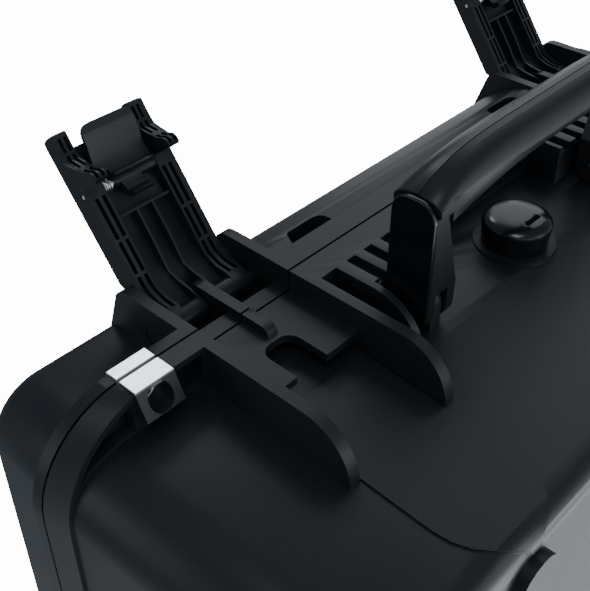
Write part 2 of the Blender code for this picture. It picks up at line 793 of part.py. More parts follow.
def hollow_bulge(shell):
    """The bulge's cavity, open to the inside of the lid, and its two scoops on the outside."""
    centre = (BULGE_DEPTH + BULGE_RADIUS, SCOOP_BOTTOM)
    inner = arc(centre, BULGE_RADIUS - FLOOR - FIT, 180, 90, 8)
    profile = [(inner[0][0], LID_BAND + 2.0)] + inner + [(centre[0], LID_BAND + 2.0)]
    half = SCOOP_INNER - CAVITY_INSET
    cut(shell, front_prism("cavity", -half, half, profile))
    radius = (SCOOP_TOP - SCOOP_BOTTOM) / 2
    for side in (-1, 1):
        outer = [(SCOOP_OUTER, SCOOP_BOTTOM), (SCOOP_OUTER - SCOOP_SLANT, SCOOP_TOP - 1.5)]
        outer.append((SCOOP_OUTER - SCOOP_SLANT - 2.5, SCOOP_TOP))
        inner = arc((SCOOP_INNER + radius, SCOOP_TOP - radius), radius, 90, 180, 5)
        outline = outer + inner + [(SCOOP_INNER, SCOOP_BOTTOM)]
        points = [(side * x, PARTING_HEIGHT + rise) for x, rise in outline]
        cut(shell, prism("scoop", "Y", FRONT - 1.0, FRONT + BULGE_DEPTH + SCOOP_DEPTH, points))


def lid_bay(shell, side):
    """Cut the flange away for one latch, and add its fins, shelf, ridge and rod holes."""
    centre = side * BAY_CENTRE
    bay = (centre - BAY_HALF, centre + BAY_HALF)
    cut(shell, front_block("bay", bay, (-1.0, SEAT_DEPTH), (-1.0, LID_BAND + 1.0)))
    wall = LID_WALL_FRONT + DRAFT * FIN_LID_STRAIGHT
    crown = arc((FIN_LID_RADIUS, FIN_LID_STRAIGHT), FIN_LID_RADIUS, 180, 100, 5)
    profile = [(0.0, RIM)] + crown + [
        (FIN_LID_DEPTH, LID_HEIGHT - FIT),
        (FIN_LID_DEPTH, LID_HEIGHT - LID_EDGE),
        (LID_WALL_FRONT + 2.0, RIM),
    ]
    starts = (BAY_CENTRE - BAY_HALF - FIN_THICKNESS, BAY_CENTRE + BAY_HALF)
    for start in starts:
        low, high = mirrored(start, start + FIN_THICKNESS, side)
        add(shell, front_prism("fin", low, high, profile))
    wide = (centre - BAY_HALF - 1.0, centre + BAY_HALF + 1.0)
    shelf = (SEAT_DEPTH, LID_WALL_FRONT + 2.0)
    add(shell, front_block("shelf", wide, shelf, (RIM, LID_SHELF)))
    nose = 8.0
    tip = arc((RIDGE_DEPTH + nose, RIDGE_LID_END - nose), nose, 180, 90, 5)
    profile = [(RIDGE_DEPTH, RIM)] + tip + [(wall + 1.5, RIDGE_LID_END), (LID_WALL_FRONT + 2.0, RIM)]
    add(shell, front_prism("ridge", centre - RIDGE_HALF, centre + RIDGE_HALF, profile))
    reach = BAY_HALF + FIN_THICKNESS + 1.0
    axis = place(ROD_DEPTH, ROD_RISE)
    cut(shell, cylinder("rod_hole", "X", axis, ROD_RADIUS + FIT, centre - reach, centre + reach, 16))


def make_lid_shell():
    """The whole lid moulding."""
    shell = lid_hull()
    lid_bulge(shell)
    for side in (-1, 1):
        lid_bay(shell, side)
        padlock_hole(shell, side, 0.0, LID_BAND + 2.0)
        arm = (PARTING_HEIGHT + RIM, PARTING_HEIGHT + KNUCKLE_RADIUS)
        hinge_half(shell, side * HINGE_CENTRE, ((-LID_KNUCKLE_HALF, LID_KNUCKLE_HALF),), arm)
    cut(shell, lid_interior())
    hollow_bulge(shell)
    outer = rim_outline(TONGUE_OFFSET + TONGUE_WIDTH + GROOVE_CLEARANCE)
    inner = rim_outline(TONGUE_OFFSET - GROOVE_CLEARANCE)
    gasket_top = PARTING_HEIGHT - RIM + TONGUE_HEIGHT + FIT + GASKET_HEIGHT
    cut(shell, ring("groove", outer, inner, PARTING_HEIGHT, gasket_top + FIT))
    return shell


def make_lid_gasket():
    """A flat rubber ring in the lid's groove, above the base's tongue."""
    low = PARTING_HEIGHT - RIM + TONGUE_HEIGHT + FIT
    outer = rim_outline(TONGUE_OFFSET + TONGUE_WIDTH + GROOVE_CLEARANCE - FIT)
    inner = rim_outline(TONGUE_OFFSET - GROOVE_CLEARANCE + FIT)
    return ring("lid_gasket", outer, inner, low, low + GASKET_HEIGHT)


def make_clip(name, side, direction):
    """A folded sheet-metal clip on a padlock lug: -1 for the base's, +1 for the lid's."""
    centre = side * LUG_CENTRE
    band = BASE_BAND if direction < 0 else LID_BAND
    start = direction * (RIM + CLIP_SETBACK)
    end = direction * (band + FIT + CLIP_SHEET)
    leaf = LUG_HOLE_DEPTH + CLIP_LEAF
    back = CLIP_SHEET - CLIP_PROUD
    profile = [
        (-CLIP_PROUD, start),
        (-CLIP_PROUD, end),
        (CLIP_LIP, end),
        (CLIP_LIP, end - direction * CLIP_SHEET),
        (back, end - direction * CLIP_SHEET),
        (back, start + direction * CLIP_SHEET),
        (leaf, start + direction * CLIP_SHEET),
        (leaf, start),
    ]
    clip = front_prism(name, centre - CLIP_HALF, centre + CLIP_HALF, profile)
    axis = (centre, FRONT + LUG_HOLE_DEPTH)
    low, high = sorted((0.0, direction * band))
    limits = (PARTING_HEIGHT + low, PARTING_HEIGHT + high)
    return cut(clip, cylinder("hole", "Z", axis, CLIP_HOLE_RADIUS, *limits))


def latch_prism(name, x_low, x_high, profile):
    """Extrude a profile of (reach, lift) places of the closed latch along X."""
    points = [(LATCH_Y - lift, LATCH_Z - reach) for reach, lift in profile]
    return prism(name, "X", x_low, x_high, points)


def latch_bar(name, place_on_latch, radius, low, high, sides=16):
    """A round bar along X at a (reach, lift) place of the closed latch."""
    reach, lift = place_on_latch
    return cylinder(name, "X", (LATCH_Y - lift, LATCH_Z - reach), radius, low, high, sides)


def latch_side(lift):
    """Half the latch's width at a lift, since its sides lean in towards the case."""
    return LATCH_HALF - LATCH_DRAFT * (LATCH_LIFT - lift)


def latch_plan(name, centre, half, near, far, corner):
    """A tall mask with round corners at its far end, for trimming a piece of the latch in plan."""
    right = arc((half - corner, far - corner), corner, 0, 90, 4)
    outline = [(half, near)] + right
    outline += [(-x, reach) for x, reach in reversed(outline)]
    points = [(centre + x, LATCH_Z - reach) for x, reach in outline]
    return prism(name, "Y", LATCH_Y - 2 * LATCH_LIFT, LATCH_Y + LATCH_LIFT, points)


def core(body, centre, starts, width, profiles):
    """Cut slots of one width into both sides of the latch from below."""
    for start in starts:
        for side in (-1, 1):
            low, high = mirrored(start, start + width, side)
            for profile in profiles:
                cut(body, latch_prism("slot", centre + low, centre + high, profile))


def latch_slots(body, centre):
    """Core the rails round the bend and along their length, and the arms above their ears."""
    roof = LATCH_LIFT - LATCH_SKIN
    first, second, third = RAIL_SLOT_REACHES
    rails = [BEND_SLOT]
    for near, far in ((first, second), (third, LATCH_REACH - RAIL_SLOT_BACK)):
        rails.append([(near, SLOT_OPEN), (near, roof), (far, roof), (far, SLOT_OPEN)])
    core(body, centre, RAIL_SLOT_STARTS, RAIL_SLOT_WIDTH, rails)
    near, far = [LATCH_REACH - back for back in TIP_SLOT_BACKS]
    arms = [[(near, SLOT_OPEN), (near, TIP_SLOT_LIFT), (far, TIP_SLOT_LIFT), (far, SLOT_OPEN)]]
    for slot in (ARM_SLOT_BACKS, EAR_SLOT_BACKS):
        arms.append([(LATCH_REACH - back, lift) for back, lift in slot])
    core(body, centre, ARM_SLOT_STARTS, ARM_SLOT_WIDTH, arms)


def latch_drafts(body, centre):
    """Lean the latch's sides in towards the case."""
    outer = LATCH_LIFT + 3.0
    inner = -LATCH_LIFT
    for side in (-1, 1):
        outline = [
            (centre + side * latch_side(outer), LATCH_Y - outer),
            (centre + side * latch_side(inner), LATCH_Y - inner),
            (centre + side * 2 * LATCH_HALF, LATCH_Y - inner),
            (centre + side * 2 * LATCH_HALF, LATCH_Y - outer),
        ]
        low = LATCH_Z - LATCH_REACH - 5.0
        cut(body, prism("draft", "Z", low, LATCH_Z + 2 * EYE_RADIUS, outline))


def make_latch_body(name, centre):
    """The latch's moulding: skin, eye for the rod, two cored rails, arms with ears, and centre ribs."""
    top = LATCH_LIFT
    roof = top - LATCH_SKIN
    crank = (3.0, EYE_RADIUS - 0.9)
    bend = (LATCH_BEND, top)
    end = LATCH_REACH
    skin_end = end - LATCH_SKIN_INSET
    rib_end = end - CENTRE_RIB_BACK
    skin = [crank, bend, (skin_end, top), (skin_end, roof), (LATCH_BEND + 0.5, roof), (5.0, 4.0)]
    rail = [crank, bend, (RAIL_END, top), (RAIL_END, RAIL_LIFT), (19.5, RAIL_LIFT), (12.5, 3.2)]
    rail += [(8.0, -2.2), (3.0, LATCH_LOW), (0.0, 0.0)]
    rib_top = top - 1.0
    rib = [crank, (LATCH_BEND, rib_top), (rib_end, rib_top), (rib_end, CENTRE_RIB_LIFT)]
    rib += [(37.0, CENTRE_RIB_LIFT), (21.0, 9.8), (16.0, 6.0), (8.5, -1.5), (2.5, LATCH_LOW), (0.0, 0.0)]
    arm_start = end - ARM_BACK
    arm = [(arm_start, top), (end - 1.0, top), (end, top - 1.0)]
    arm += [(end - back, lift) for back, lift in EAR_EDGE]
    arm += [(RAIL_END, RAIL_LIFT), (arm_start, CENTRE_RIB_LIFT)]
    body = latch_prism(name, centre - LATCH_HALF, centre + LATCH_HALF, skin)
    add(body, latch_bar("eye", (0.0, 0.0), EYE_RADIUS, centre - LATCH_HALF, centre + LATCH_HALF, 20))
    for side in (-1, 1):
        low, high = mirrored(RAIL_INNER, LATCH_HALF, side)
        add(body, latch_prism("rail", centre + low, centre + high, rail))
        low, high = mirrored(LATCH_HALF - ARM_WIDTH, LATCH_HALF, side)
        add(body, latch_prism("arm", centre + low, centre + high, arm))
        low, high = mirrored(CENTRE_RIB_HALF, CENTRE_RIB_HALF + CENTRE_RIB_WIDTH, side)
        add(body, latch_prism("rib", centre + low, centre + high, rib))
    bridge_half = CENTRE_RIB_HALF + CENTRE_RIB_WIDTH - 0.1
    low, high = centre - bridge_half, centre + bridge_half
    add(body, latch_prism("bridge", low, high, BRIDGE))
    start = rib_end - CENTRE_RIB_WIDTH
    cross = [(start, CENTRE_RIB_LIFT), (start, rib_top), (rib_end, rib_top), (rib_end, CENTRE_RIB_LIFT)]
    add(body, latch_prism("cross", centre - RAIL_INNER - 1.0, centre + RAIL_INNER + 1.0, cross))
    latch_slots(body, centre)
    wide = LATCH_HALF + 1.0
    ridge_face = ROD_DEPTH - RIDGE_DEPTH
    gap_half = CENTRE_RIB_HALF - 0.1
    gap_top = ridge_face + FIT + 0.05
    ridge_gap = [(-9.0, -9.0), (-9.0, gap_top), (24.0, gap_top), (24.0, -9.0)]
    pin = (TRIGGER_PIN_REACH, TRIGGER_PIN_LIFT)
    cut(
        body,
        latch_bar("rod_bore", (0.0, 0.0), ROD_RADIUS + FIT, centre - wide, centre + wide),
        latch_prism("ridge_gap", centre - gap_half, centre + gap_half, ridge_gap),
        latch_bar("ridge_swing", (0.0, 0.0), ridge_face + 2.4, centre - gap_half, centre + gap_half, 32),
        latch_bar("pin_bore", pin, TRIGGER_PIN_RADIUS + FIT, centre - wide, centre + wide, 12),
    )
    latch_drafts(body, centre)
    plan = latch_plan("plan", centre, LATCH_HALF, -2 * EYE_RADIUS, end, LATCH_CORNER)
    return combine(body, plan, "INTERSECT")


def make_trigger(name, centre):
    """The release paddle, its barrel on the pin, and the claw in the catch plate's notch."""
    reach = TRIGGER_PIN_REACH
    lift = TRIGGER_PIN_LIFT
    barrel_low = centre - RAIL_INNER + SPRING_ROOM + 0.8
    barrel_high = centre + TRIGGER_HALF
    paddle = [(reach + step, lift + rise) for step, rise in PADDLE_EDGE]
    claw = [(reach + step, lift + rise) for step, rise in CLAW_EDGE]
    trigger = latch_prism(name, centre - TRIGGER_HALF, centre + TRIGGER_HALF, paddle)
    far = reach + max(step for step, rise in PADDLE_EDGE)
    plan = latch_plan("plan", centre, TRIGGER_HALF, reach - 5.0, far, TRIGGER_CORNER)
    combine(trigger, plan, "INTERSECT")
    notch_end = reach + SPRING_NOTCH
    notch = [(reach - 5.0, 0.0), (reach - 5.0, LATCH_LIFT), (notch_end, LATCH_LIFT), (notch_end, 0.0)]
    cut(trigger, latch_prism("spring_notch", centre - TRIGGER_HALF - 1.0, barrel_low, notch))
    add(
        trigger,
        latch_bar("barrel", (reach, lift), BARREL_RADIUS, barrel_low, barrel_high),
        latch_prism("claw", centre - CLAW_HALF, centre + CLAW_HALF, claw),
    )
    bore = TRIGGER_PIN_RADIUS + FIT
    return cut(trigger, latch_bar("bore", (reach, lift), bore, barrel_low - 1, barrel_high + 1, 12))


def spring_path(centre):
    """Points along a torsion spring's wire round the trigger's pin, its legs included."""
    y = LATCH_Y - TRIGGER_PIN_LIFT
    z = LATCH_Z - TRIGGER_PIN_REACH
    start = centre - RAIL_INNER + SPRING_WIRE / 2 + FIT
    count = round(SPRING_TURNS * SPRING_POINTS)
    points = []
    for i in range(count + 1):
        angle = 2 * math.pi * i / SPRING_POINTS
        x = start + SPRING_PITCH * i / SPRING_POINTS
        across = SPRING_RADIUS * math.cos(angle)
        along = SPRING_RADIUS * math.sin(angle)
        points.append(Vector((x, y + across, z + along)))
    leg = 3 * SPRING_WIRE
    first = points[0] - Vector((0.0, 0.0, leg))
    last = points[-1] + Vector((0.0, 0.0, -leg))
    return [first] + points + [last]


def spring_gap(points):
    """The least gap between turns of the wire: points half a turn or more apart are compared."""
    apart = SPRING_POINTS // 2
    least = math.inf
    for i, point in enumerate(points):
        for other in points[i + apart:]:
            least = min(least, (point - other).length)
    return least - SPRING_WIRE


def make_spring(name, centre):
    """One unbroken wire, swept along its path."""
    points = spring_path(centre)
    print(name, "least gap to itself, mm:", round(spring_gap(points), 2))
    curve = bpy.data.curves.new(name, "CURVE")
    curve.dimensions = "3D"
    curve.bevel_depth = SPRING_WIRE / 2 * MM
    curve.bevel_resolution = 1
    curve.use_fill_caps = True
    spline = curve.splines.new("POLY")
    spline.points.add(len(points) - 1)
    for slot, point in zip(spline.points, points):
        slot.co = (*(point * MM), 1.0)
    guide = bpy.data.objects.new(name, curve)
    bpy.context.scene.collection.objects.link(guide)
    bpy.context.view_layer.update()
    graph = bpy.context.evaluated_depsgraph_get()
    wire = bmesh.new()
    wire.from_mesh(bpy.data.meshes.new_from_object(guide.evaluated_get(graph)))
    bmesh.ops.remove_doubles(wire, verts=wire.verts, dist=0.001 * MM)
    bmesh.ops.scale(wire, vec=(1 / MM, 1 / MM, 1 / MM), verts=wire.verts)
    bpy.data.objects.remove(guide)
    return mesh_object(name, wire)


def grip_top(x, below):
    """The grip's upper side, which droops towards the ends and is flatter there."""
    ridge = HANDLE_RIDGE - HANDLE_DROOP * abs(x / HANDLE_DROOP_HALF) ** 5
    seat = HANDLE_UNDERSIDE - LEG_STEP
    return ridge - below * (ridge - seat) / (HANDLE_RIDGE - seat)


def grip_ring(rise, below, lifted, half):
    """The grip's outline at one rise, with a step up over each leg."""
    seat = LEG_INNER_TOP
    leg_top = HANDLE_UNDERSIDE - LEG_STEP
    xs = [half * i / 12 for i in range(-12, 13)]
    points = [(x, grip_top(x, below)) for x in xs]
    points += [(half, leg_top), (seat, leg_top)]
    inner = seat - FIT
    for i in range(6, -7, -1):
        x = inner * i / 6
        flat = 1 - (x / inner) ** 2
        points.append((x, HANDLE_UNDERSIDE - HANDLE_ARCH * (1 - flat) + lifted * flat))
    points += [(-seat, leg_top), (-half, leg_top)]
    z = PARTING_HEIGHT + HANDLE_RISE + rise
    return [(x, FRONT - out, z) for x, out in points]


def grip_half(name, side, half):
    """Half of the round-backed grip, from the seam along its ridge to one side."""
    levels = []
    for rise, below, lifted in GRIP_SECTION:
        levels.append(grip_ring(side * rise, below, lifted, half))
    return loft(name, levels)


def make_handle_frame():
    """The lid's half of the grip, fused with both legs and their forked feet."""
    inside = HANDLE_HALF - CAP_THICKNESS - 0.4
    frame = grip_half("handle_frame", 1, inside)
    low = PARTING_HEIGHT + HANDLE_RISE - LEG_HALF_WIDTH
    high = PARTING_HEIGHT + HANDLE_RISE + LEG_HALF_WIDTH
    top = HANDLE_UNDERSIDE - 1.4
    pivot = place(HANDLE_PIVOT_DEPTH, HANDLE_RISE)
    for side in (-1, 1):
        outline = [
            (side * inside, FRONT),
            (side * inside, FRONT - top),
            (side * (LEG_INNER_TOP + 0.4), FRONT - top),
            (side * (LEG_INNER_TOP + 0.2), FRONT - 40.0),
            (side * LEG_INNER, FRONT),
        ]
        add(frame, prism("leg", "Z", low, high, outline))
        neck = mirrored(LEG_INNER_TOP + 0.4, inside, side)
        neck_y = (FRONT - HANDLE_UNDERSIDE + 0.3, FRONT - top + 3.0)
        add(frame, block("neck", neck, neck_y, ((low + high) / 2 + 0.5, high)))
        for near, far in ((LEG_INNER, FORK_INNER), (FORK_OUTER, inside)):
            x_range = mirrored(near, far, side)
            foot = arc(pivot, LUG_RADIUS, -90, 90, 10)
            foot += [(FRONT - 3.0, high - 0.1), (FRONT - 3.0, low + 0.1)]
            add(frame, prism("lug", "X", x_range[0], x_range[1], foot))
        x_range = mirrored(LEG_INNER - 1.0, inside + 1.0, side)
        cut(frame, cylinder("bore", "X", pivot, HANDLE_PIN_RADIUS + FIT, *x_range))
    return frame


def make_handle_cap(name, side):
    """The smooth cap over one end of the handle."""
    half = LEG_HALF_WIDTH + 0.5
    corner = CAP_CORNER
    y, z = place(HANDLE_PIVOT_DEPTH, HANDLE_RISE)
    foot = arc((y, z), half, -90, 90, 12)
    top = FRONT - CAP_TOP + corner
    upper = arc((top, z + half - corner), corner, 90, 180, 5)
    lower = arc((top, z - half + corner), corner, 180, 270, 5)
    x_range = mirrored(HANDLE_HALF - CAP_THICKNESS, HANDLE_HALF, side)
    return prism(name, "X", x_range[0], x_range[1], foot + upper + lower)


def valve_profile(points):
    """Places of (radius, depth) turned into (radius, y)."""
    return [(radius, FRONT + depth) for radius, depth in points]


def make_valve():
    """The pressure valve's pieces, from the outside in."""
    centre = (0.0, PARTING_HEIGHT + VALVE_RISE)
    seat = VALVE_SEAT_DEPTH - FIT
    ring_outer = VALVE_FLANGE_RADIUS - 2.6
    ring_inner = ring_outer - O_RING_THICKNESS - 2 * FIT
    groove = seat - O_RING_THICKNESS
    stem_end = VALVE_INNER_SEAT + VALVE_NUT_HEIGHT + 3.5
    body = turned_ring("valve_body", centre, valve_profile([
        (VALVE_BORE_RADIUS, VALVE_FLANGE_DEPTH),
        (VALVE_FLANGE_RADIUS, VALVE_FLANGE_DEPTH),
        (VALVE_FLANGE_RADIUS, seat),
        (ring_outer, seat),
        (ring_outer, groove - FIT),
        (ring_inner, groove - FIT),
        (ring_inner, seat),
        (VALVE_STEM_RADIUS, seat),
        (VALVE_STEM_RADIUS, stem_end),
        (VALVE_BORE_RADIUS, stem_end),
    ]))
    middle = (ring_outer + ring_inner) / 2
    thick = O_RING_THICKNESS / 2
    o_ring = turned_ring("valve_o_ring", centre, valve_profile(
        arc((middle, seat - thick), thick, 0, 315, 7)
    ))
    rim = VALVE_CAP_RADIUS
    inner = VALVE_FLANGE_RADIUS + FIT
    cap = turned("valve_cap", centre, valve_profile([
        (7.0, VALVE_CAP_DEPTH),
        (rim - 4.5, VALVE_CAP_DEPTH + 0.6),
        (rim - 1.6, VALVE_CAP_DEPTH + 1.9),
        (rim - 0.2, VALVE_CAP_DEPTH + 3.4),
        (rim, VALVE_CAP_DEPTH + 4.8),
        (rim - VALVE_CAP_TAPER, seat - 0.6),
        (inner, seat - 0.6),
        (inner, VALVE_FLANGE_DEPTH - FIT),
    ]), 32)
    slot_low = VALVE_RISE - 10.0
    cut(cap, front_block("slot", (-6.0, 6.0), (VALVE_CAP_DEPTH - 1, VALVE_CAP_DEPTH + 2.2),
                         (slot_low, slot_low + 2.5)))
    membrane_depth = FRONT + stem_end - 2.0
    membrane = cylinder("valve_membrane", "Y", centre, VALVE_BORE_RADIUS - FIT,
                        membrane_depth, membrane_depth + 0.8)
    nut_low = FRONT + VALVE_INNER_SEAT + FIT
    nut = cylinder("valve_nut", "Y", centre, VALVE_NUT_RADIUS, nut_low, nut_low + VALVE_NUT_HEIGHT, 6)
    cut(nut, cylinder("bore", "Y", centre, VALVE_STEM_RADIUS + FIT, nut_low - 1, nut_low + 9, 24))
    return body, o_ring, cap, membrane, nut


def make_base_foam():
    """The bottom sheet, and the block with the pad's pocket."""
    floor = FOOT_HEIGHT + FLOOR + FIT
    inset = WALL + FOAM_CLEARANCE
    sheet_top = floor + FOAM_BOTTOM
    sheet = loft("base_foam_bottom", [
        at(base_outline(PARTING_HEIGHT - floor, inset + WALL), floor),
        at(base_outline(PARTING_HEIGHT - floor - WALL, inset), floor + WALL),
        at(base_outline(PARTING_HEIGHT - sheet_top, inset), sheet_top),
    ])
    low = sheet_top + FIT
    top = PARTING_HEIGHT - 5.0
    pocket = rounded_rect(POCKET_LENGTH / 2, -POCKET_WIDTH / 2, POCKET_WIDTH / 2, POCKET_RADIUS)
    pocket_floor = low + FOAM_POCKET_FLOOR
    foam = loft("base_foam", [
        at(base_outline(PARTING_HEIGHT - low, inset), low),
        at(base_outline(PARTING_HEIGHT - top, inset + 1.0), top),
        at(pocket, top),
        at(pocket, pocket_floor),
    ])
    reach = VALVE_NUT_RADIUS + 3.0
    stem_end = VALVE_INNER_SEAT + VALVE_NUT_HEIGHT + 4.5
    relief = front_block("relief", (-reach, reach), (0.0, stem_end), (VALVE_RISE - reach, 1.0))
    return cut(foam, relief), sheet


def make_lid_foam():
    """The slab of foam in the lid."""
    top = PARTING_HEIGHT + LID_HEIGHT - FLOOR - FIT
    inset = WALL + FOAM_CLEARANCE
    rise = top - PARTING_HEIGHT
    low = PARTING_HEIGHT + LID_FOAM_FACE
    return loft("lid_foam", [
        at(lid_outline(LID_FOAM_FACE, inset + 1.5), low),
        at(lid_outline(rise - WALL, inset + 0.4), top - WALL),
        at(lid_outline(rise, inset + WALL + 0.4), top),
    ])


def build_case():
    """Make every piece and give it its finish."""
    shell = material("black_polypropylene", (0.020, 0.022, 0.025), 0.48)
    dark = material("black_nylon", (0.012, 0.013, 0.015), 0.42)
    gloss = material("gloss_black", (0.006, 0.007, 0.008), 0.12, coat=0.4)
    steel = material("stainless_steel", (0.80, 0.80, 0.79), 0.28, metallic=1.0)
    rubber = material("black_rubber", (0.015, 0.015, 0.016), 0.75)
    foam = material("grey_foam", (0.045, 0.046, 0.050), 0.95)
    mesh = material("valve_membrane", (0.75, 0.76, 0.74), 0.8)
    finish_part(make_base_shell(), shell)
    hinge = (0.0, HINGE_Y, PARTING_HEIGHT)
    finish_part(make_lid_shell(), shell, hinge)
    finish_part(make_lid_gasket(), rubber, hinge)
    finish_part(make_lid_foam(), foam, hinge)
    for piece in make_base_foam():
        finish_part(piece, foam)
    body, o_ring, cap, membrane, nut = make_valve()
    for piece, finish in ((body, dark), (o_ring, rubber), (cap, gloss), (membrane, mesh), (nut, dark)):
        finish_part(piece, finish)
    rod = (0.0, LATCH_Y, LATCH_Z)
    pivot = (0.0, *place(HANDLE_PIVOT_DEPTH, HANDLE_RISE))
    finish_part(make_handle_frame(), dark, pivot)
    inside = HANDLE_HALF - CAP_THICKNESS - 0.4
    grip = grip_half("handle_grip", -1, inside)
    finish_part(grip, dark, pivot)
    for side, word in ((-1, "left"), (1, "right")):
        centre = side * BAY_CENTRE
        for name, direction in (("base", -1), ("lid", 1)):
            finish_part(make_clip(f"padlock_clip_{name}_{word}", side, direction), steel)
        reach = BAY_HALF + FIN_THICKNESS - FIT
        bar = cylinder(f"latch_rod_{word}", "X", place(ROD_DEPTH, ROD_RISE), ROD_RADIUS,
                       centre - reach, centre + reach, 16)
        finish_part(bar, dark, rod)
        open_turn = -LATCH_OPEN_ANGLE
        finish_part(make_latch_body(f"latch_body_{word}", centre), dark, rod, open_turn)
        trigger_pin = (0.0, LATCH_Y - TRIGGER_PIN_LIFT, LATCH_Z - TRIGGER_PIN_REACH)
        finish_part(make_trigger(f"latch_trigger_{word}", centre), dark, trigger_pin, open_turn, rod)
        wide = latch_side(TRIGGER_PIN_LIFT) - FIT
        pin = latch_bar(f"trigger_pin_{word}", (TRIGGER_PIN_REACH, TRIGGER_PIN_LIFT),
                        TRIGGER_PIN_RADIUS, centre - wide, centre + wide, 12)
        finish_part(pin, steel, rod, open_turn)
        finish_part(make_spring(f"trigger_spring_{word}", centre), steel, rod, open_turn)
        finish_part(make_handle_cap(f"handle_cap_{word}", side), gloss, pivot)
        low, high = mirrored(LEG_INNER + 0.5, HANDLE_HALF - CAP_THICKNESS - FIT, side)
        pin = cylinder(f"handle_pin_{word}", "X", pivot[1:], HANDLE_PIN_RADIUS, low, high)
        finish_part(pin, steel)
        centre = side * HINGE_CENTRE
        half = HINGE_HALF - FIT
        pin = cylinder(f"hinge_pin_{word}", "X", hinge[1:], HINGE_PIN_RADIUS, centre - half, centre + half)
        finish_part(pin, steel)


def main():
    """Clear the scene, build the case and centre it over its own box."""
    for item in list(bpy.data.objects):
        bpy.data.objects.remove(item)
    build_case()
    case = bpy.data.objects.new("case", None)
    case.location.y = CENTRE_SHIFT * MM
    bpy.context.scene.collection.objects.link(case)
    for item in PARTS:
        item.parent = case


main()
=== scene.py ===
# %% [markdown]
# A moulded carrying case for a sampling pad.
# The real case is two black injection-moulded shells with swing latches, a folding handle, a round
# pressure valve and bright padlock clips. The solid model is loaded first and stays where it is.
# Everything below dresses it, so that each finish can be studied by itself.

# %% Load the solid model and note its size
import json
import math

import bmesh
import bpy
from mathutils import Matrix, Vector


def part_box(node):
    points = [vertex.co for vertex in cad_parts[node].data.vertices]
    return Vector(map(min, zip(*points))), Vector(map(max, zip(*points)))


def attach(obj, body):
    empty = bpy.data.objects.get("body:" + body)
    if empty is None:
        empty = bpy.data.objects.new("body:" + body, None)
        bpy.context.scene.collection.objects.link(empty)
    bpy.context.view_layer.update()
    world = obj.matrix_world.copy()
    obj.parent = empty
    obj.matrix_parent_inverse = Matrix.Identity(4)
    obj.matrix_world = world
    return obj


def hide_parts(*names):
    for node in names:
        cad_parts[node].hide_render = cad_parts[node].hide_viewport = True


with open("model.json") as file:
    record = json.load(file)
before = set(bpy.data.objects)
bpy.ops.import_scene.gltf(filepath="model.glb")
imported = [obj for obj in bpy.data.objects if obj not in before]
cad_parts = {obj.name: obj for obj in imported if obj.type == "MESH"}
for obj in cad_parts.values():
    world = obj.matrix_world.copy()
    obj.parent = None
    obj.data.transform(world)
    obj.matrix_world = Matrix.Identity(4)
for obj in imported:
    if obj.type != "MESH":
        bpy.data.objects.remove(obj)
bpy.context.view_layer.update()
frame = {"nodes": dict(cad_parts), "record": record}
MM = 0.001

# %% [markdown]
# The photograph looks up at the case from its left, below its feet, and the picture is rolled until
# the case seems to stand on its hinge side. A camera can be given by where it stands and by three
# directions: where it looks, what is up in the picture, and what lies to the right.

# %% Set up the camera
CAMERA_PLACE = Vector((-388.0, -461.45, -85.5)) * MM
LOOK = Vector((0.570, 0.628, 0.530)).normalized()
PICTURE_UP = Vector((0.460, -0.778, 0.4275))
FOCAL_LENGTH = 59.19
SENSOR_WIDTH = 36.0
NEAREST_SEEN = 0.01


def placed(name, data):
    """An object in the scene, made from its data."""
    item = bpy.data.objects.new(name, data)
    bpy.context.scene.collection.objects.link(item)
    return item


camera_data = bpy.data.cameras.new("camera")
camera_data.lens = FOCAL_LENGTH
camera_data.sensor_width = SENSOR_WIDTH
camera_data.clip_start = NEAREST_SEEN
camera = placed("camera", camera_data)
right = LOOK.cross(PICTURE_UP).normalized()
up = right.cross(LOOK)
turn = Matrix(((right.x, up.x, -LOOK.x), (right.y, up.y, -LOOK.y), (right.z, up.z, -LOOK.z)))
camera.matrix_world = Matrix.Translation(CAMERA_PLACE) @ turn.to_4x4()
bpy.context.scene.camera = camera
print("camera stands", round(CAMERA_PLACE.length, 2), "m from the middle of the feet")

# %% [markdown]
# Shader arithmetic reads best as arithmetic. A small class wraps a socket, so that an expression such
# as 1 - mask adds its own Math node.

# %% Wrap sockets so that expressions add nodes
class Signal:
    """An output socket that can be used in an expression."""

    def __init__(self, finish, socket):
        self.finish = finish
        self.socket = socket

    def math(self, operation, first, second):
        return self.finish.node("ShaderNodeMath", {"operation": operation}, {0: first, 1: second})

    def __add__(self, other):
        return self.math("ADD", self, other)

    def __sub__(self, other):
        return self.math("SUBTRACT", self, other)

    def __rsub__(self, other):
        return self.math("SUBTRACT", other, self)

    def __mul__(self, other):
        return self.math("MULTIPLY", self, other)

    __radd__ = __add__
    __rmul__ = __mul__


# %% [markdown]
# Every other node is added by one method, which takes the node's type, its settings and its inputs.
# The settings come first, because some of them decide which sockets a node has. A ramp's stops are
# settings too: it has two, each a place and a colour.

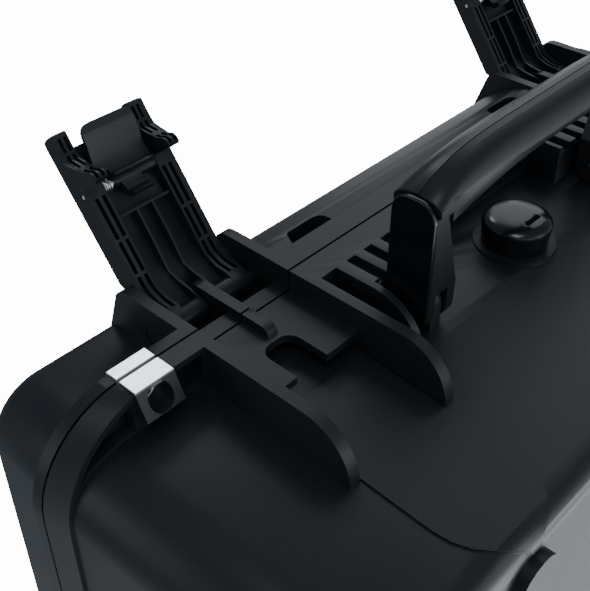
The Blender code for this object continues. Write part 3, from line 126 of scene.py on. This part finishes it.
# %% Add nodes in one way
class Finish:
    """A node tree under construction: a material's or a world's."""

    def __init__(self, owner):
        owner.use_nodes = True
        self.owner = owner
        self.tree = owner.node_tree

    def node(self, kind, settings=None, inputs=None, output=0):
        made = self.tree.nodes.new(kind)
        for name, value in (settings or {}).items():
            if name == "stops":
                self.set_stops(made.color_ramp, value)
            else:
                setattr(made, name, value)
        self.feed(made, inputs or {})
        return Signal(self, made.outputs[output])

    def feed(self, made, inputs):
        for name, value in inputs.items():
            socket = made.inputs[name]
            if isinstance(value, Signal):
                self.tree.links.new(value.socket, socket)
            else:
                socket.default_value = value

    def set_stops(self, ramp, stops):
        for element, (place, colour) in zip(ramp.elements, stops):
            element.position = place
            element.color = colour

    def show(self, surface):
        end = next(n for n in self.tree.nodes if n.type.startswith("OUTPUT"))
        self.feed(end, {"Surface": surface})


# %% [markdown]
# The case stands on a white sweep in a dim room. Black plastic is seen almost only by what it mirrors,
# so the surroundings matter more than the lamps: they are bright behind the hinge side and below,
# where the sweep is, and dim and bluish in front and above. The camera itself sees the overexposed
# white of a studio sweep, which is far brighter than what the plastic mirrors. A Mix node has sockets
# of the same name for each kind of data, so those for colours are given by number.

# %% Light the room
SWEEP_WHITE = 14.0
SWEEP_LIGHT = 0.75
SWEEP_TINT = 1.12
SWEEP_STOP = 0.85
ROOM_LIGHT = 0.16
ROOM_TINT = 1.35
ROOM_STOP = 0.50
LEAN = 0.35
RAMP_MIDDLE = 0.5
MIX_FACTOR, MIX_FIRST, MIX_SECOND, MIX_RESULT = 0, 6, 7, 2


def grey(level, blue=1.0):
    """A grey colour, or one that leans to blue."""
    return (level, level * (1 + (blue - 1) / 2), level * blue, 1.0)


def two_tones(finish, pattern, low, high):
    """A colour that follows a pattern between two stops."""
    return finish.node("ShaderNodeValToRGB", {"stops": (low, high)}, {0: pattern})


world = bpy.data.worlds.new("room")
bpy.context.scene.world = world
room = Finish(world)
direction = room.node("ShaderNodeTexCoord", output="Generated")
behind = room.node("ShaderNodeSeparateXYZ", inputs={0: direction}, output="Y")
above = room.node("ShaderNodeSeparateXYZ", inputs={0: direction}, output="Z")
dim = (ROOM_STOP, grey(ROOM_LIGHT, ROOM_TINT))
bright = (SWEEP_STOP, grey(SWEEP_LIGHT, SWEEP_TINT))
mirrored = two_tones(room, (behind - above) * LEAN + RAMP_MIDDLE, dim, bright)
to_camera = room.node("ShaderNodeLightPath", output="Is Camera Ray")
colour = room.node(
    "ShaderNodeMix",
    {"data_type": "RGBA"},
    {MIX_FACTOR: to_camera, MIX_FIRST: mirrored, MIX_SECOND: grey(1.0)},
    MIX_RESULT,
)
strength = to_camera * (SWEEP_WHITE - 1) + 1
room.show(room.node("ShaderNodeBackground", inputs={"Color": colour, "Strength": strength}))
print("room light from", ROOM_LIGHT, "in front to", SWEEP_LIGHT, "behind")

# %% [markdown]
# Seven soft lamps lift single faces out of the black. One stands at the left end, two below the feet,
# behind and in front, and one to the right above the lid. One on the camera's side opens the shadows,
# a wide one at the front right lays a sheen along the handle and the flange, and a small one in front
# above is what the padlock clips mirror.

# %% Hang the lamps
LAMPS = (
    ("left_lamp", (-1.5, -0.5, 0.9), 0.9, 2.0),
    ("low_lamp", (0.9, 0.9, -1.3), 1.3, 15.0),
    ("under_lamp", (0.6, -0.5, -1.7), 0.9, 4.0),
    ("lid_lamp", (1.4, -0.1, 1.3), 0.8, 1.6),
    ("camera_lamp", (-0.7, -1.9, -0.5), 0.7, 5.0),
    ("sheen_lamp", (1.45, -1.25, 0.75), 1.6, 6.6),
    ("clip_lamp", (0.61, -1.53, 1.40), 0.35, 2.0),
)
LAMP_TINT = 1.1
LIT_PLACE = Vector((0.0, 0.0, 0.1))


def soft_lamp(name, place, size, power):
    """A square lamp at a place in metres, which faces the case."""
    data = bpy.data.lights.new(name, "AREA")
    data.shape = "SQUARE"
    data.size = size
    data.energy = power
    data.color = grey(1.0, LAMP_TINT)[:3]
    lamp = placed(name, data)
    lamp.location = place
    to_case = LIT_PLACE - Vector(place)
    lamp.rotation_euler = to_case.to_track_quat("-Z", "Y").to_euler()
    print(name, "stands", round(to_case.length, 2), "m away")


for lamp_facts in LAMPS:
    soft_lamp(*lamp_facts)

# %% [markdown]
# The floor is a pale sheet under the feet. Only the camera sees it, and only from above: from below
# the picture has to look through it, and light passes it, so that the underside is lit as it is on
# the photograph's sweep. A little of the bright sweep shows through it, which keeps it nearly white.
# Its tone follows a noise, whose values lie mostly between 0.3 and 0.7.

# %% Lay the floor
FLOOR_HALF = 9.0
FLOOR_DROP = 0.0005
FLOOR_COVER = 0.95
FLOOR_DARK, FLOOR_PALE = 0.78, 0.82
MOTTLE_SCALE = 3.0
CLOUD_LOW, CLOUD_HIGH = 0.3, 0.7

floor_mesh = bpy.data.meshes.new("floor")
corner_signs = ((-1, -1), (1, -1), (1, 1), (-1, 1))
corners = [(x * FLOOR_HALF, y * FLOOR_HALF, -FLOOR_DROP) for x, y in corner_signs]
floor_mesh.from_pydata(corners, [], [(0, 1, 2, 3)])
floor = placed("floor", floor_mesh)
sheet = Finish(bpy.data.materials.new("pale_floor"))
seen = sheet.node("ShaderNodeLightPath", output="Is Camera Ray")
from_below = sheet.node("ShaderNodeNewGeometry", output="Backfacing")
mottle = sheet.node("ShaderNodeTexNoise", inputs={"Scale": MOTTLE_SCALE})
pale = two_tones(sheet, mottle, (CLOUD_LOW, grey(FLOOR_DARK)), (CLOUD_HIGH, grey(FLOOR_PALE)))
paper = sheet.node("ShaderNodeBsdfDiffuse", inputs={"Color": pale})
clear = sheet.node("ShaderNodeBsdfTransparent")
cover = seen * (1 - from_below) * FLOOR_COVER
sheet.show(sheet.node("ShaderNodeMixShader", inputs={0: cover, 1: clear, 2: paper}))
floor_mesh.materials.append(sheet.owner)
print("floor is", 2 * FLOOR_HALF, "m wide")

# %% [markdown]
# The object's materials start alike. Their patterns follow the places on the object in metres, so
# that a scale is a count of spots per metre, and one scale suits all pieces of a material.

# %% Begin a material and its patterns
def begin_material(name):
    """A new material's node tree, its shader, and the places that its patterns follow."""
    finish = Finish(bpy.data.materials.new(name))
    places = finish.node("ShaderNodeTexCoord", output="Object")
    return finish, finish.tree.nodes["Principled BSDF"], places


def noise(finish, places, scale, detail=2.0):
    """A cloudy pattern with so many clouds in a metre."""
    return finish.node("ShaderNodeTexNoise", inputs={"Vector": places, "Scale": scale, "Detail": detail})


def shade(colour, amount):
    """A colour, darker or lighter by an amount."""
    return (*[c * amount for c in colour], 1.0)


# %% [markdown]
# The shells are polypropylene moulded in a spark-eroded tool: a black satin with a grain of about
# half a millimetre, and slow changes in gloss where the melt flowed. The fittings are nylon, a little
# darker and smoother, and the caps of the handle and the valve are almost polished. One recipe makes
# all three, with its amounts as arguments.

# %% Make the moulded plastics
DRIFTS_PER_METRE = 9.0
SPECKS_PER_METRE = 900.0
PITS_PER_METRE = 1700.0
PIT_DEPTH = 0.00008
SPECK_RELIEF = 0.5
DARKEST, LIGHTEST = 0.85, 1.15
DRIFT_TONE, SPECK_TONE = 0.7, 0.3
DRIFT_GLOSS, SPECK_GLOSS = 0.16, 0.06
COAT_ROUGHNESS = 0.08
PLASTIC_IOR = 1.5


def moulded_plastic(name, colour, rough, grain, coat=0.0):
    """Moulded plastic: slow drifts of tone and gloss, and a fine grain in the surface."""
    finish, shader, places = begin_material(name)
    drift = noise(finish, places, DRIFTS_PER_METRE, 3.0)
    speck = noise(finish, places, SPECKS_PER_METRE)
    pits = finish.node("ShaderNodeTexVoronoi", inputs={"Vector": places, "Scale": PITS_PER_METRE})
    dark, light = (CLOUD_LOW, shade(colour, DARKEST)), (CLOUD_HIGH, shade(colour, LIGHTEST))
    height = pits + speck * SPECK_RELIEF
    relief = finish.node(
        "ShaderNodeBump", inputs={"Strength": grain, "Distance": PIT_DEPTH, "Height": height}
    )
    smoothest = rough - (DRIFT_GLOSS + SPECK_GLOSS) / 2
    finish.feed(shader, {
        "Base Color": two_tones(finish, drift * DRIFT_TONE + speck * SPECK_TONE, dark, light),
        "Roughness": drift * DRIFT_GLOSS + speck * SPECK_GLOSS + smoothest,
        "Normal": relief,
        "Coat Weight": coat,
        "Coat Roughness": COAT_ROUGHNESS,
        "IOR": PLASTIC_IOR,
    })
    print("plastic:", name)
    return finish.owner


SHELL_BLACK = moulded_plastic("shell_plastic", (0.013, 0.0165, 0.0205), 0.40, 0.35)
FITTING_BLACK = moulded_plastic("fitting_plastic", (0.011, 0.014, 0.0175), 0.36, 0.20)
GLOSS_BLACK = moulded_plastic("smooth_plastic", (0.004, 0.0055, 0.0075), 0.25, 0.04, 0.3)

# %% [markdown]
# The padlock clips, pins and springs are stainless steel. Rolled sheet has fine lines along its
# length, which a noise stretched across one axis gives.

# %% Make the steel
LINES_ALONG = 60.0
LINES_ACROSS = 1800.0
LINE_DEPTH = 0.00001
LINE_STRENGTH = 0.05
LINE_SHADE = 0.97
LINE_GLOSS = 0.15


def rolled_steel(name, level, rough, metallic):
    """Bright sheet or wire with fine lines. Its roughness starts at rough."""
    finish, shader, places = begin_material(name)
    stretch = (LINES_ALONG, LINES_ACROSS, LINES_ACROSS)
    stretched = finish.node("ShaderNodeMapping", inputs={"Vector": places, "Scale": stretch})
    lines = noise(finish, stretched, 1.0, 3.0)
    dark, light = (CLOUD_LOW, grey(level * LINE_SHADE)), (CLOUD_HIGH, grey(level))
    relief = finish.node(
        "ShaderNodeBump", inputs={"Strength": LINE_STRENGTH, "Distance": LINE_DEPTH, "Height": lines}
    )
    finish.feed(shader, {
        "Base Color": two_tones(finish, lines, dark, light),
        "Metallic": metallic,
        "Roughness": lines * LINE_GLOSS + rough,
        "Normal": relief,
    })
    print("steel:", name)
    return finish.owner


STEEL = rolled_steel("stainless_steel", 0.95, 0.15, 0.7)

# %% [markdown]
# Rubber, foam and the valve's membrane are dull, and differ in colour and in the size of their cells:
# the foam's can be seen, and the others are little more than a fine unevenness.

# %% Make the rubber, the foam and the membrane
CLOUDS_PER_METRE = 40.0
CLOUD_GLOSS = 0.1
CELL_STRENGTH = 0.8
CELL_SHADE = 0.6
CELL_LOW = 0.1
CELL_TONE, CLOUD_TONE = 0.8, 0.2


def dull_stuff(name, colour, cell, depth, rough):
    """Rubber or foam: a dull surface with cells of one size."""
    finish, shader, places = begin_material(name)
    cells = finish.node("ShaderNodeTexVoronoi", inputs={"Vector": places, "Scale": 1 / cell})
    cloud = noise(finish, places, CLOUDS_PER_METRE)
    dark, light = (CELL_LOW, shade(colour, CELL_SHADE)), (CLOUD_HIGH, shade(colour, 1.0))
    tone = two_tones(finish, cells * CELL_TONE + cloud * CLOUD_TONE, dark, light)
    relief = finish.node(
        "ShaderNodeBump", inputs={"Strength": CELL_STRENGTH, "Distance": depth, "Height": cells}
    )
    roughness = cloud * CLOUD_GLOSS + (rough - CLOUD_GLOSS / 2)
    finish.feed(shader, {"Base Color": tone, "Roughness": roughness, "Normal": relief})
    print("dull:", name, "with cells of", round(cell / MM, 2), "mm")
    return finish.owner


RUBBER = dull_stuff("seal_rubber", (0.016, 0.016, 0.017), 0.0006, 0.00003, 0.7)
FOAM = dull_stuff("foam", (0.050, 0.052, 0.056), 0.0012, 0.0004, 0.95)
MEMBRANE = dull_stuff("vent_membrane", (0.72, 0.73, 0.71), 0.0004, 0.00003, 0.8)

# %% [markdown]
# The record says which finish each solid has and which body it moves with. Every solid gets its
# finish, also those that a finer piece will stand for.

# %% Give the solids their finishes
FINISH_OF_SLOT = {
    "shell_plastic": SHELL_BLACK,
    "fitting_plastic": FITTING_BLACK,
    "smooth_plastic": GLOSS_BLACK,
    "stainless_steel": STEEL,
    "seal_rubber": RUBBER,
    "foam": FOAM,
    "vent_membrane": MEMBRANE,
}
SLOT_OF_NODE = {part["node"]: part["material_slot"] for part in frame["record"]["subparts"]}
BODY_OF_NODE = {
    node: body for body, nodes in frame["record"]["behaviour"]["bodies"].items() for node in nodes
}

for node, item in frame["nodes"].items():
    item.data.materials.clear()
    item.data.materials.append(FINISH_OF_SLOT[SLOT_OF_NODE[node]])
print("finishes given to", len(frame["nodes"]), "solids")

# %% [markdown]
# No moulded edge is perfectly sharp, and on black plastic the rounded edge is what draws the shape:
# it catches a thin line of light. The solids have sharp edges, so each one is copied, its flat faces
# are merged, and its edges are rounded. The copy then stands for the solid.

# %% Prepare to round the edges of the solids
CREASE = math.radians(31)
FLAT = math.radians(0.5)
SAME_PLACE = 0.00001
EDGE_SEGMENTS = 2


def cleaned_copy(node):
    """A copy of a solid's mesh, with its flat faces merged."""
    mesh = frame["nodes"][node].data.copy()
    build = bmesh.new()
    build.from_mesh(mesh)
    bmesh.ops.remove_doubles(build, verts=build.verts, dist=SAME_PLACE)
    bmesh.ops.dissolve_limit(build, angle_limit=FLAT, verts=build.verts, edges=build.edges)
    build.to_mesh(mesh)
    build.free()
    return mesh


def add_piece(name, mesh, node):
    """Make a piece from a mesh, which rides and is finished as a node is."""
    piece = placed(name, mesh)
    mesh.materials.clear()
    mesh.materials.append(FINISH_OF_SLOT[SLOT_OF_NODE[node]])
    mesh.shade_smooth()
    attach(piece, BODY_OF_NODE[node])
    return piece


def stand_for(name, mesh, node):
    """Make a piece from a mesh, in a node's place."""
    piece = add_piece(name, mesh, node)
    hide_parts(node)
    return piece


def round_edges(piece, width, segments=EDGE_SEGMENTS):
    """Round a piece's edges wherever its faces meet at more than the crease angle."""
    piece.data.set_sharp_from_angle(angle=CREASE)
    rounding = piece.modifiers.new("rounding", "BEVEL")
    rounding.width = width
    rounding.segments = segments
    rounding.limit_method = "ANGLE"
    rounding.angle_limit = CREASE
    rounding.use_clamp_overlap = True
    rounding.harden_normals = True


def rounded(node, width, segments=EDGE_SEGMENTS):
    """Stand a copy of a node, with rounded edges, in the node's place."""
    round_edges(stand_for(f"moulded_{node}", cleaned_copy(node), node), width, segments)


# %% [markdown]
# The two shells have edges of about half a millimetre, as a mould cut with small tools leaves. Those
# of the latches, triggers, handle and valve are a little finer, and the caps on the handle's ends are
# rounder.

# %% Round the shells and fittings
SHELL_EDGE = 0.55 * MM
FITTING_EDGE = 0.4 * MM
CAP_EDGE = 0.9 * MM
CAP_SEGMENTS = 3

for node in ("base_shell", "lid_shell"):
    rounded(node, SHELL_EDGE)
for node in ("handle_frame", "handle_grip", "valve_cap", "valve_body", "valve_nut"):
    rounded(node, FITTING_EDGE)
for side in ("left", "right"):
    for node in ("latch_body", "latch_trigger", "latch_rod"):
        rounded(f"{node}_{side}", FITTING_EDGE)
    rounded(f"handle_cap_{side}", CAP_EDGE, CAP_SEGMENTS)

# %% [markdown]
# Sheet metal is tumbled after it is cut and folded, which takes the sharpness off the padlock clips.
# Pins have a small chamfer, which lets them start in their bores. Rubber and membrane are cut or
# moulded with a fine edge. The springs and the valve's ring are round all over and stay as they are.

# %% Round the metal and the seals
METAL_EDGE = 0.3 * MM
SEAL_EDGE = 0.25 * MM

for side in ("left", "right"):
    for node in ("padlock_clip_base", "padlock_clip_lid", "trigger_pin", "handle_pin", "hinge_pin"):
        rounded(f"{node}_{side}", METAL_EDGE)
for node in ("lid_gasket", "valve_membrane"):
    rounded(node, SEAL_EDGE)

# %% [markdown]
# Under the flange, each padlock hole runs on through a gusset whose underside slopes down towards the
# wall. It is a block around a round hole, so rings of points run around the rectangle's edge and
# around the hole, along the same rays. Rays through the corners keep the corners sharp.

# %% Find the rays and heights of a padlock gusset
GUSSET_CENTRE = Vector((215.5, -175.7)) * MM
GUSSET_HALF = Vector((10.5, 6.2)) * MM
GUSSET_LOW = 153.6 * MM
GUSSET_SLOPE = 0.49
HOLE_STEPS = 40
CLOSEST_RAYS = 0.04
TINY = 1e-9


def ring_angles(half):
    """Angles around a rectangle's centre, its four corners among them."""
    corner = math.atan2(half.y, half.x)
    corners = [corner, math.pi - corner, math.pi + corner, 2 * math.pi - corner]
    even = [2 * math.pi * i / HOLE_STEPS for i in range(HOLE_STEPS)]
    return sorted(corners + [a for a in even if min(abs(a - c) for c in corners) > CLOSEST_RAYS])


def reach(ray, half):
    """How far a rectangle's edge lies from its centre, along a ray."""
    return min(half.x / max(abs(ray.x), TINY), half.y / max(abs(ray.y), TINY))


def slope(y):
    """Height of the sloping underside at a place along Y."""
    return GUSSET_LOW - GUSSET_SLOPE * (y - GUSSET_CENTRE.y + GUSSET_HALF.y)


print("gusset's underside, m:", [
    round(slope(GUSSET_CENTRE.y + way * GUSSET_HALF.y), 4) for way in (-1, 1)
])

# %% [markdown]
# Four rings make the block: the rectangle's edge below and above, then the hole's above and below.
# Faces join each ring to the next one, and the last to the first, which closes the block.

# %% Add the padlock gussets
GUSSET_HOLE = 6.4 * MM
GUSSET_TOP = 155.4 * MM
GUSSET_EDGE = 0.45 * MM


def closed_mesh(name, build):
    """A mesh from a finished build, with all its faces turned outwards."""
    bmesh.ops.recalc_face_normals(build, faces=build.faces)
    mesh = bpy.data.meshes.new(name)
    build.to_mesh(mesh)
    build.free()
    return mesh


def gusset_mesh(name, side):
    """A block with a round hole, from its sloping underside up to the flange."""
    middle = Vector((side * GUSSET_CENTRE.x, GUSSET_CENTRE.y))
    rays = [Vector((math.cos(angle), math.sin(angle))) for angle in ring_angles(GUSSET_HALF)]
    rim = [middle + ray * reach(ray, GUSSET_HALF) for ray in rays]
    bore = [middle + ray * GUSSET_HOLE for ray in rays]
    build = bmesh.new()
    rings = [
        [build.verts.new((p.x, p.y, slope(p.y))) for p in rim],
        [build.verts.new((p.x, p.y, GUSSET_TOP)) for p in rim],
        [build.verts.new((p.x, p.y, GUSSET_TOP)) for p in bore],
        [build.verts.new((p.x, p.y, slope(p.y))) for p in bore],
    ]
    for ring, following in zip(rings, rings[1:] + rings[:1]):
        for i in range(len(rays)):
            j = (i + 1) % len(rays)
            build.faces.new((ring[i], ring[j], following[j], following[i]))
    return closed_mesh(name, build)


for side, label in ((-1, "left"), (1, "right")):
    name = f"padlock_gusset_{label}"
    round_edges(add_piece(name, gusset_mesh(name, side), "base_shell"), GUSSET_EDGE)
print("gussets added at", [round(v, 4) for v in GUSSET_CENTRE])

# %% [markdown]
# The lid's foam is the convoluted kind: a sheet squeezed between pegged rollers while it is sliced,
# which leaves rows of soft peaks that press on whatever lies in the base. A grid of points over the
# slab's rounded outline is lowered and raised by two crossing waves.

# %% Shape the underside of the lid foam
FOAM_PITCH = 38.0 * MM
FOAM_PEAK = 13.0 * MM
FOAM_CORNER = 24.0 * MM
FOAM_STEP = 4.75 * MM


def slab_point(u, v, half_x, half_y):
    """A point of a rounded rectangle, from u and v that run from -1 to 1."""
    y = v * half_y
    over = max(0.0, abs(y) - (half_y - FOAM_CORNER))
    side = half_x - FOAM_CORNER + math.sqrt(max(0.0, FOAM_CORNER ** 2 - over ** 2))
    return u * side, y


def hollow(x, y):
    """How far a point of the underside lies above the peaks."""
    wave = math.sin(2 * math.pi * x / FOAM_PITCH) * math.sin(2 * math.pi * y / FOAM_PITCH)
    return FOAM_PEAK * (0.5 - 0.5 * wave)


def wavy_grid(build, low, high):
    """Rows of points over the slab's outline, joined by faces."""
    middle = (low + high) / 2
    half_x = (high.x - low.x) / 2
    half_y = (high.y - low.y) / 2
    columns = round(2 * half_x / FOAM_STEP)
    rows = round(2 * half_y / FOAM_STEP)
    grid = []
    for j in range(rows + 1):
        line = []
        for i in range(columns + 1):
            x, y = slab_point(2 * i / columns - 1, 2 * j / rows - 1, half_x, half_y)
            line.append(build.verts.new((middle.x + x, middle.y + y, low.z + hollow(x, y))))
        grid.append(line)
    for line, following in zip(grid, grid[1:]):
        for i in range(columns):
            build.faces.new((line[i], following[i], following[i + 1], line[i + 1]))
    return grid


print("peaks stand", round(FOAM_PITCH / MM), "mm apart and", round(FOAM_PEAK / MM), "mm high")

# %% [markdown]
# The rest of the slab is plain. Its outline is lifted to just under the back and then to the back,
# each time drawn in a little, and the back is one flat face that lies against the lid.

# %% Close the lid foam
FOAM_SHRINK = 0.8 * MM
FOAM_BACK_EDGE = 6 * MM
SIDE_DRAWN_IN = 0.997
BACK_DRAWN_IN = 0.984


def around(grid):
    """The points along a grid's outline, in order."""
    last_column = [line[-1] for line in grid[:-1]]
    first_column = [line[0] for line in grid[:0:-1]]
    return grid[0][:-1] + last_column + grid[-1][:0:-1] + first_column


def lifted(build, edge, middle, share, z):
    """A copy of an outline at another height, drawn in towards the middle and joined to it."""
    copy = []
    for vert in edge:
        x = middle.x + (vert.co.x - middle.x) * share
        y = middle.y + (vert.co.y - middle.y) * share
        copy.append(build.verts.new((x, y, z)))
    for i, vert in enumerate(edge):
        j = (i + 1) % len(edge)
        build.faces.new((vert, edge[j], copy[j], copy[i]))
    return copy


def wavy_slab(low_corner, high_corner):
    """A slab between two corners, whose underside has rows of peaks."""
    low = Vector(low_corner) + Vector((FOAM_SHRINK, FOAM_SHRINK, 0.0))
    high = Vector(high_corner) - Vector((FOAM_SHRINK, FOAM_SHRINK, 0.0))
    middle = (low + high) / 2
    build = bmesh.new()
    edge = around(wavy_grid(build, low, high))
    edge = lifted(build, edge, middle, SIDE_DRAWN_IN, high.z - FOAM_BACK_EDGE)
    edge = lifted(build, edge, middle, BACK_DRAWN_IN, high.z)
    build.faces.new(edge)
    return closed_mesh("convoluted_foam", build)


lid_foam = stand_for("convoluted_lid_foam", wavy_slab(*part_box("lid_foam")), "lid_foam")
print("lid foam has", len(lid_foam.data.polygons), "faces")

# %% [markdown]
# The base is lined with a cut block and a sheet under it. A hot wire or a knife leaves foam's edges
# slightly soft and its faces slightly uneven. The block's mesh is rebuilt from small cubes, smoothed
# until the edges relax, and pushed in a little by a cloud pattern, and never out.

# %% Soften the base foam
FOAM_VOXEL = 5.0 * MM
FOAM_UNEVEN = 0.9 * MM
FOAM_CLOUD = 0.03
RELAX_ROUNDS = 3
RELAX_FACTOR = 0.5
ONLY_INWARDS = 1.0


def cut_foam(node):
    """A block of cut foam in a node's place, with relaxed edges and uneven faces."""
    piece = stand_for(f"cut_{node}", cleaned_copy(node), node)
    remesh = piece.modifiers.new("small_cubes", "REMESH")
    remesh.mode = "VOXEL"
    remesh.voxel_size = FOAM_VOXEL
    relax = piece.modifiers.new("relax", "SMOOTH")
    relax.iterations = RELAX_ROUNDS
    relax.factor = RELAX_FACTOR
    clouds = bpy.data.textures.new(f"uneven_{node}", "CLOUDS")
    clouds.noise_scale = FOAM_CLOUD
    uneven = piece.modifiers.new("uneven", "DISPLACE")
    uneven.texture = clouds
    uneven.texture_coords = "LOCAL"
    uneven.strength = FOAM_UNEVEN
    uneven.mid_level = ONLY_INWARDS
    bpy.context.view_layer.update()
    graph = bpy.context.evaluated_depsgraph_get()
    baked = bpy.data.meshes.new_from_object(piece.evaluated_get(graph))
    piece.modifiers.clear()
    piece.data = baked
    baked.shade_smooth()
    print(node, "has", len(baked.polygons), "faces")


cut_foam("base_foam")
cut_foam("base_foam_bottom")
